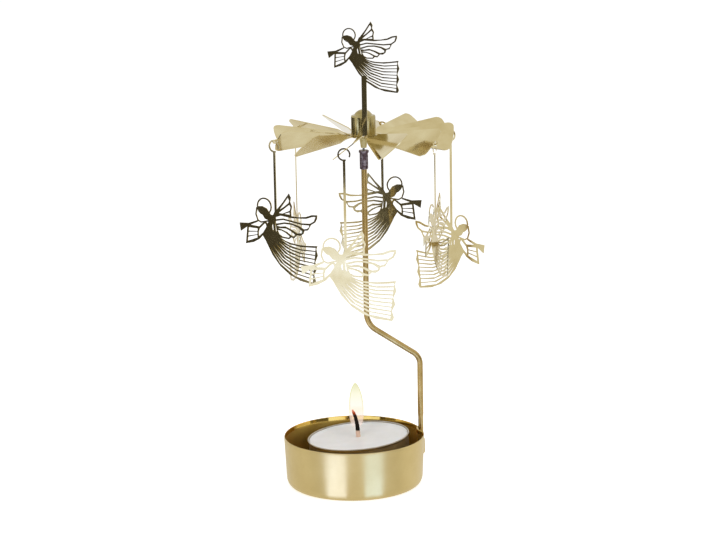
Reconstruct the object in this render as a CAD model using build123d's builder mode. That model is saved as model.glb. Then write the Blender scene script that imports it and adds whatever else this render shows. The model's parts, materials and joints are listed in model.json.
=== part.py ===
from build123d import *
from math import cos, hypot, pi, radians, sin, sqrt, tan
import os

# Angel chime carousel: a candle cup that holds a bent wire pole, and on the pole's needle a fan that turns
# in the flame's rising air and carries hanging angels below and one angel on top.
# Sizes are in millimetres and angles in degrees. The origin is the centre of the cup's underside, +Z is up
# and +X points to the pole's foot.

# Candle cup, and the two straps lanced out of its wall that grip the pole's foot
cup_rim_dia = 52.0
cup_foot_dia = 50.2
cup_height = 18.5
cup_sheet = 0.5
cup_corner = 3.0
corner_share = 0.3
strap_span = 7.0
strap_bottom_z = 9.9
strap_split_z = 15.0
strap_slit = 0.25
strap_gap = 0.05

# Tealight, which stands loose and askew in the cup
light_dia = 38.0
light_height = 15.3
light_sheet = 0.25
light_corner = 1.2
light_lip = 0.35
light_x_share = 0.7097
light_y_share = 0.6022
light_turn = -13.0
light_tilt = 4.0
light_seat_gap = 0.1
wax_gap = 0.1
wax_height = 14.3
wax_pool_sag = 0.6
wax_rim_width = 2.2
wick_dia = 1.3
wick_straight = 15.9
wick_bent = 9.0
wick_bend_angle = 9.0
wick_gap = 0.05
sustainer_dia = 12.0
sustainer_sheet = 0.3
sustainer_neck_dia = 2.4
sustainer_neck_height = 3.0

# Pole wire, with its foot pressed a little flat
wire_dia = 2.1
pole_offset = 5.5
lower_bend_z = 46.3
upper_bend_z = 60.0
lower_bend_radius = 5.5
upper_bend_radius = 8.0
foot_flat_z = 24.6
foot_taper = 2.0
foot_sheet = 1.7
foot_width = 2.4

# Ferrule crimped on the pole's top, and the needle that it holds
ferrule_dia = 3.1
ferrule_bottom_z = 117.6
ferrule_height = 7.0
ferrule_collar_dia = 3.7
ferrule_collar_height = 0.9
ferrule_wire_depth = 3.6
ferrule_gap = 0.02
ferrule_bevel = 0.2
needle_dia = 0.9
needle_tip_dia = 0.12
needle_tip_z = 135.4
needle_point_height = 2.0

# Hub of the fan: thimble, bearing inside it, and the bush that rivets it to the fan
hub_dia = 8.9
hub_bottom_z = 130.0
hub_height = 7.4
hub_sheet = 0.5
hub_edge_bevel = 0.4
dome_dia = 6.7
dome_height = 2.0
bearing_height = 3.0
bearing_gap = 0.03
bearing_cone_dia = 3.2
bearing_tip_gap = 0.05
bush_top_dia = 3.4
bush_bottom_dia = 2.1
bush_height = 4.2
bush_neck_dia = 2.6
bush_neck_gap = 0.02
bush_flare_dia = 3.8
bush_flare_height = 0.4
bush_bore_dia = 1.5

# Fan: one sheet cut into twelve blades, each twisted on its neck
blade_count = 12
blade_phase = 6.0
blade_pitch = 38.0
fan_sheet = 0.35
fan_disc_dia = 12.0
neck_width = 2.6
neck_stub = 0.4
neck_length = 4.0
blade_tip_radius = 32.7
blade_root_width = 5.4
blade_tip_width = 14.4
blade_corner = 2.2
eye_reach = 0.3
eye_land = 0.6
eye_hole_dia = 1.5

# Hanging angels, cut from flat sheet
angel_height = 30.1
angel_sheet = 0.3
ring_dia = 4.6
ring_band = 0.55
ring_gap_start = -72.0
ring_gap_end = -28.0
ring_play = 0.2
strip_width = 0.9
short_drop = 23.9
long_drop = 34.2
# each angel: the blade that carries it, the turn of its sheet about the vertical, its lean and its drop
angel_hangs = {
    "pendant_angel_1": (6, -43.0, -2.0, short_drop),
    "pendant_angel_2": (4, 95.0, -6.0, long_drop),
    "pendant_angel_3": (8, -13.0, -2.0, long_drop),
    "pendant_angel_4": (2, 194.0, -7.0, short_drop),
    "pendant_angel_5": (10, 66.0, -7.0, short_drop),
    "pendant_angel_6": (0, 129.0, -5.5, long_drop),
}

# Angel on top
finial_height = 24.0
finial_root_z = 165.3
finial_root_x = -1.4
finial_tilt = 4.0
finial_turn = -33.0
finial_stem_width = 1.9
finial_stem_x = 2.2
finial_stem_gap = 0.03
finial_foot_length = 1.2
finial_meet_share = 0.24

# One overrun for every cut
overrun = 1.0

# Outline of the angel as shares of its height, from the point where its strip joins the wing root
line_share = 0.018
halo_centre_share = (-0.162, 0.058)
halo_radius_share = 0.108
halo_sides = 18
hair_shares = [(-0.275, 0.035), (-0.243, 0.056), (-0.190, 0.060), (-0.128, 0.036), (-0.073, -0.035),
               (-0.039, -0.058), (-0.073, -0.118), (-0.158, -0.090), (-0.190, -0.045), (-0.256, 0.006)]
face_open_shares = [(-0.268, 0.004), (-0.241, -0.018), (-0.196, -0.052), (-0.154, -0.100), (-0.193, -0.124),
                    (-0.253, -0.104), (-0.266, -0.060)]
profile_shares = [(-0.271, 0.040), (-0.276, 0.000), (-0.285, -0.042), (-0.273, -0.076), (-0.259, -0.114),
                  (-0.214, -0.136), (-0.097, -0.112)]
trumpet_shares = [(-0.253, -0.112), (-0.396, -0.160), (-0.526, -0.166), (-0.511, -0.268), (-0.388, -0.190),
                  (-0.259, -0.136)]
sleeve_shares = [(-0.413, -0.180), (-0.441, -0.415), (-0.328, -0.390), (-0.241, -0.345), (-0.183, -0.285),
                 (-0.112, -0.195), (-0.120, -0.152), (-0.148, -0.120), (-0.198, -0.150), (-0.241, -0.190),
                 (-0.396, -0.178)]
cuff_shares = [(-0.236, -0.216), (-0.158, -0.146), (-0.144, -0.158), (-0.136, -0.186), (-0.186, -0.258),
               (-0.250, -0.312), (-0.252, -0.262)]
sleeve_hem_shares = [(-0.392, -0.206), (-0.402, -0.290), (-0.415, -0.388)]
sleeve_seam_shares = [(-0.262, -0.214), (-0.276, -0.272), (-0.270, -0.334)]
sleeve_slots = 3
torso_shares = [(-0.079, -0.034), (-0.039, -0.038), (-0.008, 0.018), (0.008, 0.018), (0.019, -0.030),
                (-0.014, -0.058), (-0.004, -0.224), (0.087, -0.322), (-0.073, -0.466), (-0.198, -0.290),
                (-0.100, -0.110)]
slit_shares = [(-0.056, -0.168), (-0.041, -0.140), (-0.033, -0.232), (-0.050, -0.212)]
high_wing_shares = [(-0.002, -0.030), (-0.002, 0.014), (0.097, 0.120), (0.193, 0.240), (0.220, 0.186),
                    (0.209, 0.138), (0.235, 0.082), (0.220, 0.030), (0.222, -0.040)]
high_wing_open_shares = [
    [(0.058, 0.036), (0.179, 0.190), (0.196, 0.156), (0.189, 0.128), (0.125, 0.078)],
    [(0.043, -0.006), (0.197, 0.104), (0.214, 0.076), (0.201, 0.034), (0.098, -0.008)],
    [(0.124, -0.010), (0.154, 0.000), (0.198, 0.012), (0.201, -0.016)],
]
low_wing_shares = [(-0.021, -0.040), (0.063, -0.014), (0.232, -0.030), (0.328, -0.034), (0.430, -0.022),
                   (0.510, 0.006), (0.587, 0.010), (0.583, -0.032), (0.556, -0.081), (0.496, -0.116),
                   (0.455, -0.183), (0.403, -0.192), (0.388, -0.232), (0.344, -0.259), (0.299, -0.253),
                   (0.255, -0.296), (0.218, -0.286), (0.184, -0.312), (0.081, -0.304), (0.017, -0.262)]
feather_open_shares = [
    [(0.000, -0.060), (0.072, -0.036), (0.222, -0.054), (0.434, -0.046), (0.515, -0.018), (0.564, -0.012),
     (0.540, -0.068), (0.482, -0.100), (0.367, -0.104), (0.106, -0.066), (0.000, -0.084)],
    [(0.000, -0.106), (0.106, -0.086), (0.367, -0.124), (0.471, -0.122), (0.469, -0.142), (0.444, -0.164),
     (0.396, -0.174), (0.328, -0.140), (0.222, -0.114), (0.121, -0.112), (0.000, -0.136)],
    [(0.004, -0.160), (0.121, -0.132), (0.217, -0.134), (0.318, -0.162), (0.372, -0.200), (0.367, -0.224),
     (0.301, -0.232), (0.232, -0.196), (0.135, -0.160), (0.058, -0.168)],
    [(0.021, -0.190), (0.145, -0.186), (0.214, -0.214), (0.276, -0.252), (0.253, -0.274), (0.214, -0.262),
     (0.145, -0.222), (0.077, -0.200)],
    [(0.023, -0.214), (0.077, -0.216), (0.135, -0.238), (0.193, -0.276), (0.178, -0.294), (0.091, -0.286),
     (0.048, -0.262)],
]
# skirt: its two edges as a start, a pull and an end, which every pleat between them follows
skirt_front_shares = [(-0.145, -0.370), (0.048, -0.800), (0.502, -0.832)]
skirt_back_shares = [(0.058, -0.300), (0.203, -0.395), (0.560, -0.362)]
pleat_count = 9
pleat_line_share = 0.24
skirt_edge_share = 0.035
pleat_start_share = 0.06
pleat_stagger_share = 0.10
hem_band_share = 0.030
hem_wave_share = 0.018
hem_waves = 3
edge_steps = 5
pleat_steps = 3
hem_steps = 12


os.makedirs("parts", exist_ok=True)

# Places worked out from the sizes above


def cup_wall_radius(height):
    """Radius of the middle of the cup's wall at a height, on its straight taper."""
    return (cup_foot_dia + (cup_rim_dia - cup_foot_dia) * height / cup_height - cup_sheet) / 2


foot_x = cup_wall_radius(strap_split_z)
foot_bottom_z = strap_bottom_z + strap_gap
pole_top_z = ferrule_bottom_z + ferrule_wire_depth
ferrule_top_z = ferrule_bottom_z + ferrule_height
fan_z = hub_bottom_z - fan_sheet
fan_middle_z = hub_bottom_z - fan_sheet / 2
hub_top_z = hub_bottom_z + hub_height
dome_top_z = hub_top_z + dome_height
pole_plane = Plane(origin=(pole_offset, 0, 0), x_dir=(1, 0, 0), z_dir=(0, -1, 0))
pole_axis = Axis((pole_offset, 0, 0), (0, 0, 1))
eye_radius = eye_hole_dia / 2 + eye_land
eye_centre_radius = blade_tip_radius + eye_reach
blade_root_radius = fan_disc_dia / 2 + neck_stub + neck_length
ring_outer_radius = ring_dia / 2
ring_inner_radius = ring_outer_radius - ring_band
ring_hang = ring_inner_radius - hypot(eye_land, fan_sheet) / 2 - ring_play

# The tealight's own frame stands on its underside and leans, with one foot edge on the cup's floor. It is
# pushed aside by shares of the room that it has on the floor and, with its lean, at the rim.
light_wall_radius = light_dia / 2 - light_lip
lean = radians(light_tilt)
lean_turn = radians(light_turn)
light_room_below = cup_foot_dia / 2 - cup_corner - (light_wall_radius - light_corner)
light_room_above = cup_rim_dia / 2 - cup_sheet - light_dia / 2 - light_height * sin(lean)
light_room = min(light_room_below, light_room_above)
light_x = light_x_share * light_room
light_y = light_y_share * light_room
light_origin = (light_x, light_y, cup_sheet + light_seat_gap + light_wall_radius * sin(lean))
light_up = (-sin(lean) * cos(lean_turn), -sin(lean) * sin(lean_turn), cos(lean))
light_side = (cos(lean) * cos(lean_turn), cos(lean) * sin(lean_turn), sin(lean))
light_plane = Plane(origin=light_origin, x_dir=light_side, z_dir=(sin(lean_turn), -cos(lean_turn), 0))
light_axis = Axis(light_origin, light_up)


def strap(side, bottom, top):
    """A strip of the cup's wall that stays joined at both ends and bulges past the pole's foot.

    side is 1 for a bulge outwards and -1 for one inwards; each face of the strip is an arc from wall to wall.
    """
    end_y = strap_span / 2 + cup_sheet
    end_x = sqrt(cup_wall_radius((bottom + top) / 2) ** 2 - end_y**2)
    crown_x = foot_x + side * (foot_sheet / 2 + strap_gap + cup_sheet / 2)
    half = cup_sheet / 2
    with BuildPart() as strip:
        with BuildSketch(Plane.XY.offset(bottom)):
            with BuildLine():
                near = ThreePointArc((end_x - half, -end_y), (crown_x - half, 0), (end_x - half, end_y))
                far = ThreePointArc((end_x + half, -end_y), (crown_x + half, 0), (end_x + half, end_y))
                Line(near @ 0, far @ 0)
                Line(near @ 1, far @ 1)
            make_face()
        extrude(amount=top - bottom)
    return strip.part


# Candle cup: a drawn dish with a tapered wall, lanced beside the rim into an outer and an inner strap
outer_strap = strap(1, strap_bottom_z, strap_split_z - strap_slit / 2)
inner_strap = strap(-1, strap_split_z + strap_slit / 2, cup_height)
with BuildPart() as candle_cup:
    with BuildSketch(Plane.XZ):
        with BuildLine():
            outside = Polyline(
                (0, 0),
                (cup_foot_dia / 2 - cup_corner, 0),
                (cup_foot_dia / 2 - cup_corner * corner_share, cup_corner * corner_share),
                (cup_wall_radius(cup_corner) + cup_sheet / 2, cup_corner),
                (cup_rim_dia / 2, cup_height),
            )
            inside = Polyline(
                (0, cup_sheet),
                (cup_foot_dia / 2 - cup_corner, cup_sheet),
                (cup_wall_radius(cup_corner) - cup_sheet / 2, cup_corner),
                (cup_rim_dia / 2 - cup_sheet, cup_height),
            )
            Line(outside @ 1, inside @ 1)
            Line(inside @ 0, outside @ 0)
        make_face()
    revolve(axis=Axis.Z)
    with BuildSketch(Plane.YZ.offset(foot_x - strap_span / 2)):
        with Locations((0, strap_bottom_z - strap_slit)):
            Rectangle(strap_span, cup_height, align=(Align.CENTER, Align.MIN))
    extrude(amount=strap_span, mode=Mode.SUBTRACT)
    add(outer_strap)
    add(inner_strap)
candle_cup.part.label = "candle_cup"
export_step(candle_cup.part, "parts/candle_cup.step")

# Pole: a round wire on a foot pressed flat, bent in over the candle and then straight up
with BuildPart() as stem_wire:
    with BuildLine() as wire_path:
        FilletPolyline(
            (foot_x, 0, foot_flat_z),
            (foot_x, 0, lower_bend_z),
            (pole_offset, 0, upper_bend_z),
            (pole_offset, 0, pole_top_z),
            radius=[lower_bend_radius, upper_bend_radius],
        )
    with BuildSketch(Plane((foot_x, 0, foot_flat_z))):
        Circle(wire_dia / 2)
    sweep(path=wire_path.wires()[0])
    with BuildSketch(Plane((foot_x, 0, foot_flat_z))):
        Circle(wire_dia / 2)
    with BuildSketch(Plane((foot_x, 0, foot_flat_z - foot_taper))):
        SlotOverall(foot_width, foot_sheet, rotation=90)
    loft()
    with BuildSketch(Plane((foot_x, 0, foot_bottom_z))):
        SlotOverall(foot_width, foot_sheet, rotation=90)
    extrude(amount=foot_flat_z - foot_taper - foot_bottom_z)
stem_wire.part.label = "stem_wire"
export_step(stem_wire.part, "parts/stem_wire.step")

# Ferrule: a short tube with a collar, bored wide for the pole below and narrow for the needle above
with BuildPart() as ferrule:
    with BuildSketch(Plane((pole_offset, 0, ferrule_bottom_z))):
        Circle(ferrule_dia / 2)
    extrude(amount=ferrule_height)
    with BuildSketch(Plane((pole_offset, 0, ferrule_top_z - ferrule_collar_height))):
        Circle(ferrule_collar_dia / 2)
    extrude(amount=ferrule_collar_height)
    chamfer(ferrule.edges().group_by(Axis.Z)[0], length=ferrule_bevel)
    chamfer(ferrule.edges().group_by(Axis.Z)[-1], length=ferrule_bevel)
    with BuildSketch(Plane((pole_offset, 0, ferrule_bottom_z))):
        Circle(wire_dia / 2 + ferrule_gap)
    extrude(amount=ferrule_wire_depth, mode=Mode.SUBTRACT)
    with BuildSketch(Plane((pole_offset, 0, pole_top_z))):
        Circle(needle_dia / 2 + ferrule_gap)
    extrude(amount=ferrule_height, mode=Mode.SUBTRACT)
ferrule.part.label = "ferrule"
export_step(ferrule.part, "parts/ferrule.step")

# Needle: a steel pin that stands on the pole's end and tapers to the point that the fan turns on
with BuildPart() as pivot_needle:
    with BuildSketch(pole_plane):
        with BuildLine():
            Polyline(
                (0, pole_top_z),
                (needle_dia / 2, pole_top_z),
                (needle_dia / 2, needle_tip_z - needle_point_height),
                (needle_tip_dia / 2, needle_tip_z),
                (0, needle_tip_z),
                close=True,
            )
        make_face()
    revolve(axis=pole_axis)
pivot_needle.part.label = "pivot_needle"
export_step(pivot_needle.part, "parts/pivot_needle.step")

# Hub: a thimble with a rounded shoulder and a low dome
dome_ball_radius = ((dome_dia / 2) ** 2 + dome_height**2) / (2 * dome_height)
dome_middle_z = dome_top_z - dome_ball_radius + sqrt(dome_ball_radius**2 - (dome_dia / 4) ** 2)
with BuildPart() as hub_cap:
    with BuildSketch(pole_plane):
        with BuildLine():
            Polyline(
                (hub_dia / 2, hub_bottom_z),
                (hub_dia / 2, hub_top_z - hub_edge_bevel),
                (hub_dia / 2 - hub_edge_bevel, hub_top_z),
                (dome_dia / 2, hub_top_z),
            )
            ThreePointArc((dome_dia / 2, hub_top_z), (dome_dia / 4, dome_middle_z), (0, dome_top_z))
            Polyline(
                (0, dome_top_z),
                (0, hub_top_z - hub_sheet),
                (hub_dia / 2 - hub_sheet, hub_top_z - hub_sheet),
                (hub_dia / 2 - hub_sheet, hub_bottom_z),
                (hub_dia / 2, hub_bottom_z),
            )
        make_face()
    revolve(axis=pole_axis)
hub_cap.part.label = "hub_cap"
export_step(hub_cap.part, "parts/hub_cap.step")

# Bearing: a plug held in the thimble, with a cone in its underside that rides on the needle's point
bearing_top_z = hub_top_z - hub_sheet
bearing_bottom_z = bearing_top_z - bearing_height
with BuildPart() as pivot_bearing:
    with BuildSketch(Plane((pole_offset, 0, bearing_bottom_z))):
        Circle(hub_dia / 2 - hub_sheet - bearing_gap)
    extrude(amount=bearing_height)
    with BuildSketch(pole_plane):
        with BuildLine():
            Polyline(
                (0, bearing_bottom_z - overrun),
                (bearing_cone_dia / 2, bearing_bottom_z - overrun),
                (bearing_cone_dia / 2, bearing_bottom_z),
                (needle_tip_dia / 2 + bearing_tip_gap, needle_tip_z + bearing_tip_gap),
                (0, needle_tip_z + bearing_tip_gap),
                close=True,
            )
        make_face()
    revolve(axis=pole_axis, mode=Mode.SUBTRACT)
pivot_bearing.part.label = "pivot_bearing"
export_step(pivot_bearing.part, "parts/pivot_bearing.step")

# Bush: a cone under the fan whose neck passes up through it and is spread inside the thimble
bush_bottom_z = fan_z - bush_height
with BuildPart() as hub_bush:
    with BuildSketch(pole_plane):
        with BuildLine():
            Polyline(
                (bush_bore_dia / 2, bush_bottom_z),
                (bush_bottom_dia / 2, bush_bottom_z),
                (bush_top_dia / 2, fan_z),
                (bush_neck_dia / 2, fan_z),
                (bush_neck_dia / 2, hub_bottom_z),
                (bush_flare_dia / 2, hub_bottom_z),
                (bush_flare_dia / 2, hub_bottom_z + bush_flare_height),
                (bush_bore_dia / 2, hub_bottom_z + bush_flare_height),
                close=True,
            )
        make_face()
    revolve(axis=pole_axis)
hub_bush.part.label = "hub_bush"
export_step(hub_bush.part, "parts/hub_bush.step")


def blade(eyed):
    """One blade along +X: a neck that twists from level to the pitch, then a vane, and an eye if eyed."""
    pitch = radians(blade_pitch)
    across = (0, cos(pitch), sin(pitch))
    vane_plane = Plane(origin=(0, 0, 0), x_dir=(1, 0, 0), z_dir=(0, -sin(pitch), cos(pitch)))
    tip_x = sqrt(blade_tip_radius**2 - (blade_tip_width / 2) ** 2)
    neck_start = fan_disc_dia / 2 + neck_stub
    with BuildPart() as vane:
        with BuildSketch(vane_plane.offset(-fan_sheet / 2)) as vane_outline:
            with BuildLine():
                ThreePointArc(
                    (tip_x, -blade_tip_width / 2), (blade_tip_radius, 0), (tip_x, blade_tip_width / 2)
                )
                Polyline(
                    (tip_x, blade_tip_width / 2),
                    (blade_root_radius, blade_root_width / 2),
                    (blade_root_radius, -blade_root_width / 2),
                    (tip_x, -blade_tip_width / 2),
                )
            make_face()
            fillet(vane_outline.vertices().group_by(Axis.X)[-1], radius=blade_corner)
            if eyed:
                with Locations((eye_centre_radius, 0)):
                    Circle(eye_radius)
                    Circle(eye_hole_dia / 2, mode=Mode.SUBTRACT)
        extrude(amount=fan_sheet)
        with BuildSketch(Plane(origin=(neck_start, 0, 0), x_dir=(0, 1, 0), z_dir=(1, 0, 0))):
            Rectangle(neck_width, fan_sheet)
        with BuildSketch(Plane(origin=(blade_root_radius, 0, 0), x_dir=across, z_dir=(1, 0, 0))):
            Rectangle(blade_root_width, fan_sheet)
        loft()
    return vane.part


# Fan: a pierced disc with twelve twisted blades; every other one ends in an eye for a hanging angel
blade_step = 360 / blade_count
with BuildPart() as fan:
    with BuildSketch(Plane((pole_offset, 0, fan_z))):
        Circle(fan_disc_dia / 2)
        with PolarLocations(fan_disc_dia / 2, blade_count, start_angle=blade_phase):
            Rectangle(2 * neck_stub, neck_width)
        Circle(bush_neck_dia / 2 + bush_neck_gap, mode=Mode.SUBTRACT)
    extrude(amount=fan_sheet)
    with Locations((pole_offset, 0, fan_middle_z)):
        with PolarLocations(0, blade_count // 2, start_angle=blade_phase):
            add(blade(eyed=True))
        with PolarLocations(0, blade_count // 2, start_angle=blade_phase + blade_step):
            add(blade(eyed=False))
fan.part.label = "fan"
export_step(fan.part, "parts/fan.step")


def sized(shares, size):
    """An outline's shares turned into lengths."""
    return [(x * size, y * size) for x, y in shares]


def on_curve(curve, along):
    """Point on the curve with a start, a pull and an end: a quadratic Bezier curve in shares."""
    weights = ((1 - along) ** 2, 2 * along * (1 - along), along**2)
    return tuple(sum(weight * point[axis] for weight, point in zip(weights, curve)) for axis in (0, 1))


def between(first, second, across, along):
    """Point a share of the way across from one curve to another, at one share along both."""
    start, end = on_curve(first, along), on_curve(second, along)
    return tuple(a + across * (b - a) for a, b in zip(start, end))


def skirt_outline():
    """The skirt in shares: down its front edge, along the waved hem, and back up its other edge."""
    steps = [step / edge_steps for step in range(edge_steps + 1)]
    front = [on_curve(skirt_front_shares, along) for along in steps]
    back = [on_curve(skirt_back_shares, along) for along in reversed(steps)]
    hem = []
    for step in range(hem_steps + 1):
        across = step / hem_steps
        wave = hem_band_share + hem_wave_share * sin(2 * pi * hem_waves * across)
        hem.append(between(skirt_front_shares, skirt_back_shares, across, 1 + wave))
    return front + hem + back


def pleat_outline(index):
    """One opening between two pleat lines in shares: pointed at the waist and wide at the hem."""
    room = (1 - 2 * skirt_edge_share) / pleat_count
    middle = skirt_edge_share + room * (index + 1 / 2)
    start = pleat_start_share + pleat_stagger_share * (index % 2)
    sides = {-1: [], 1: []}
    for step in range(1, pleat_steps + 1):
        opened = step / pleat_steps
        along = start + (1 - start) * opened
        for side, points in sides.items():
            across = middle + side * room * (1 - pleat_line_share) / 2 * sqrt(opened)
            points.append(between(skirt_front_shares, skirt_back_shares, across, along))
    tip = between(skirt_front_shares, skirt_back_shares, middle, start)
    return [tip] + sides[-1] + sides[1][::-1]


def sleeve_slot_outline(index):
    """One opening between two folds of the sleeve in shares."""
    top = (index + pleat_line_share / 2) / sleeve_slots
    bottom = (index + 1 - pleat_line_share / 2) / sleeve_slots
    return [
        on_curve(sleeve_hem_shares, top),
        on_curve(sleeve_seam_shares, top),
        on_curve(sleeve_seam_shares, bottom),
        on_curve(sleeve_hem_shares, bottom),
    ]


def line_outline(points, width):
    """A line of one width through points: its left side, then its right side back."""
    sides = ([], [])
    for index, point in enumerate(points):
        before, after = points[max(index - 1, 0)], points[min(index + 1, len(points) - 1)]
        run = hypot(after[0] - before[0], after[1] - before[1])
        normal = ((before[1] - after[1]) / run, (after[0] - before[0]) / run)
        for side, sign in zip(sides, (1, -1)):
            side.append(tuple(point[axis] + sign * normal[axis] * width / 2 for axis in (0, 1)))
    return sides[0] + sides[1][::-1]


def angel_figure(height):
    """The trumpet angel, as a flat pierced sketch that faces -X, with its origin at the wing root."""
    with BuildSketch() as figure:
        Polygon(*sized(low_wing_shares, height))
        for shares in feather_open_shares:
            Polygon(*sized(shares, height), mode=Mode.SUBTRACT)
        Polygon(*sized(high_wing_shares, height))
        for shares in high_wing_open_shares:
            Polygon(*sized(shares, height), mode=Mode.SUBTRACT)
        Polygon(*sized(skirt_outline(), height))
        Polygon(*sized(torso_shares, height))
        Polygon(*sized(slit_shares, height), mode=Mode.SUBTRACT)
        for index in range(pleat_count):
            Polygon(*sized(pleat_outline(index), height), mode=Mode.SUBTRACT)
        with Locations(sized([halo_centre_share], height)):
            RegularPolygon(halo_radius_share * height, halo_sides)
            RegularPolygon((halo_radius_share - line_share) * height, halo_sides, mode=Mode.SUBTRACT)
        Polygon(*sized(hair_shares, height))
        Polygon(*sized(face_open_shares, height), mode=Mode.SUBTRACT)
        Polygon(*sized(line_outline(profile_shares, line_share), height))
        Polygon(*sized(trumpet_shares, height))
        Polygon(*sized(sleeve_shares, height))
        Polygon(*sized(cuff_shares, height), mode=Mode.SUBTRACT)
        for index in range(sleeve_slots):
            Polygon(*sized(sleeve_slot_outline(index), height), mode=Mode.SUBTRACT)
    return figure.sketch


def hanging_plane(blade_index, sheet_turn):
    """Plane of a hanging angel's sheet, with its origin at the ring's centre.

    The ring loops round the rim of the eye's hole on its downhill side. Along the line where the upright
    sheet crosses the sloping vane, that rim's middle lies half a hole and half a land from the eye's centre,
    and the ring's centre hangs below it.
    """
    pitch = radians(blade_pitch)
    out_angle = radians(blade_phase + blade_index * blade_step)
    out = Vector(cos(out_angle), sin(out_angle), 0)
    across = Vector(-sin(out_angle), cos(out_angle), 0)
    sheet_dir = Vector(cos(radians(sheet_turn)), sin(radians(sheet_turn)), 0)
    up = Vector(0, 0, 1)
    slope = sheet_dir.dot(across) * tan(pitch)
    crossing = (sheet_dir + up * slope).normalized()
    downhill = crossing * (-1 if slope > 0 else 1)
    eye_centre = Vector(pole_offset, 0, fan_middle_z) + out * eye_centre_radius
    rim_middle = eye_centre + downhill * ((eye_hole_dia + eye_land) / 2)
    return Plane(origin=rim_middle - up * ring_hang, x_dir=sheet_dir, z_dir=sheet_dir.cross(up))


# Hanging angels: each a split ring, a strip and a figure, cut in one piece from flat sheet. The figure's
# weight lies behind the strip, so the angel leans forward in its own plane, turned about the ring's centre.
for name, (blade_index, sheet_turn, sheet_lean, drop) in angel_hangs.items():
    gap_start = (ring_dia * cos(radians(ring_gap_start)), ring_dia * sin(radians(ring_gap_start)))
    gap_end = (ring_dia * cos(radians(ring_gap_end)), ring_dia * sin(radians(ring_gap_end)))
    strip_top = ring_inner_radius + ring_band / 2
    figure = angel_figure(angel_height)
    with BuildPart() as pendant:
        with BuildSketch(hanging_plane(blade_index, sheet_turn).rotated((0, 0, sheet_lean))):
            Circle(ring_outer_radius)
            Circle(ring_inner_radius, mode=Mode.SUBTRACT)
            Polygon((0, 0), gap_start, gap_end, mode=Mode.SUBTRACT)
            with Locations((0, -strip_top)):
                Rectangle(strip_width, drop - strip_top, align=(Align.CENTER, Align.MAX))
            with Locations((0, -drop)):
                add(figure)
        extrude(amount=angel_sheet / 2, both=True)
    pendant.part.label = name
    export_step(pendant.part, f"parts/{name}.step")

# Top angel: a smaller figure on a flat stem that passes in front of the hub, its foot folded onto the fan
stem_meet = sized([on_curve(skirt_front_shares, finial_meet_share)], finial_height)[0]
small_figure = angel_figure(finial_height)
finial_across = (cos(radians(finial_turn)), sin(radians(finial_turn)), 0)
finial_forward = (sin(radians(finial_turn)), -cos(radians(finial_turn)), 0)
finial_reach = hub_dia / 2 + finial_stem_gap + angel_sheet / 2
finial_plane = Plane(
    origin=(pole_offset + finial_reach * finial_forward[0], finial_reach * finial_forward[1], 0),
    x_dir=finial_across,
    z_dir=finial_forward,
)
with BuildPart() as finial_angel:
    with BuildSketch(finial_plane):
        with Locations(Location((finial_stem_x + finial_root_x, finial_root_z, 0), (0, 0, finial_tilt))):
            add(small_figure)
        with Locations((finial_stem_x, hub_bottom_z)):
            Rectangle(
                finial_stem_width,
                finial_root_z + stem_meet[1] - hub_bottom_z,
                align=(Align.CENTER, Align.MIN),
            )
    extrude(amount=angel_sheet / 2, both=True)
    with BuildSketch(finial_plane):
        with Locations((finial_stem_x, hub_bottom_z)):
            Rectangle(finial_stem_width, angel_sheet, align=(Align.CENTER, Align.MIN))
    extrude(amount=angel_sheet / 2 + finial_foot_length)
finial_angel.part.label = "finial_angel"
export_step(finial_angel.part, "parts/finial_angel.step")

# Tealight cup: thin sheet with a turned lip at its rim
with BuildPart() as tealight_cup:
    with BuildSketch(light_plane):
        with BuildLine():
            Polyline(
                (0, 0),
                (light_wall_radius - light_corner, 0),
                (light_wall_radius, light_corner),
                (light_wall_radius, light_height - 2 * light_lip),
                (light_dia / 2, light_height - light_lip),
                (light_wall_radius, light_height),
                (light_wall_radius - light_sheet, light_height),
                (light_wall_radius - light_sheet, light_corner),
                (light_wall_radius - light_corner, light_sheet),
                (0, light_sheet),
                close=True,
            )
        make_face()
    revolve(axis=light_axis)
tealight_cup.part.label = "tealight_cup"
export_step(tealight_cup.part, "parts/tealight_cup.step")

# Wick sustainer: a thin disc on the tealight's floor with a neck that grips the wick
sustainer_top = light_sheet + sustainer_sheet
neck_top = sustainer_top + sustainer_neck_height
with BuildPart() as wick_sustainer:
    with BuildSketch(light_plane):
        with BuildLine():
            Polyline(
                (0, light_sheet),
                (sustainer_dia / 2, light_sheet),
                (sustainer_dia / 2, sustainer_top),
                (sustainer_neck_dia / 2, sustainer_top),
                (sustainer_neck_dia / 2, neck_top),
                (wick_dia / 2 + wick_gap, neck_top),
                (wick_dia / 2 + wick_gap, sustainer_top),
                (0, sustainer_top),
                close=True,
            )
        make_face()
    revolve(axis=light_axis)
wick_sustainer.part.label = "wick_sustainer"
export_step(wick_sustainer.part, "parts/wick_sustainer.step")

# Wax: fills the tealight cup round the sustainer and the wick, with a raised rim round its pool
wax_floor = light_sheet + wax_gap
wax_top = wax_floor + wax_height
wax_radius = light_wall_radius - light_sheet - wax_gap
wick_hole_radius = wick_dia / 2 + wick_gap
with BuildPart() as wax:
    with BuildSketch(light_plane):
        with BuildLine():
            Polyline(
                (sustainer_dia / 2 + wax_gap, wax_floor),
                (wax_radius - light_corner, wax_floor),
                (wax_radius, wax_floor + light_corner),
                (wax_radius, wax_top),
                (wax_radius - wax_rim_width, wax_top - wax_pool_sag),
                (wick_hole_radius, wax_top - wax_pool_sag),
                (wick_hole_radius, neck_top + wax_gap),
                (sustainer_neck_dia / 2 + wax_gap, neck_top + wax_gap),
                (sustainer_neck_dia / 2 + wax_gap, sustainer_top + wax_gap),
                (sustainer_dia / 2 + wax_gap, sustainer_top + wax_gap),
                close=True,
            )
        make_face()
    revolve(axis=light_axis)
wax.part.label = "wax"
export_step(wax.part, "parts/wax.step")

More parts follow.
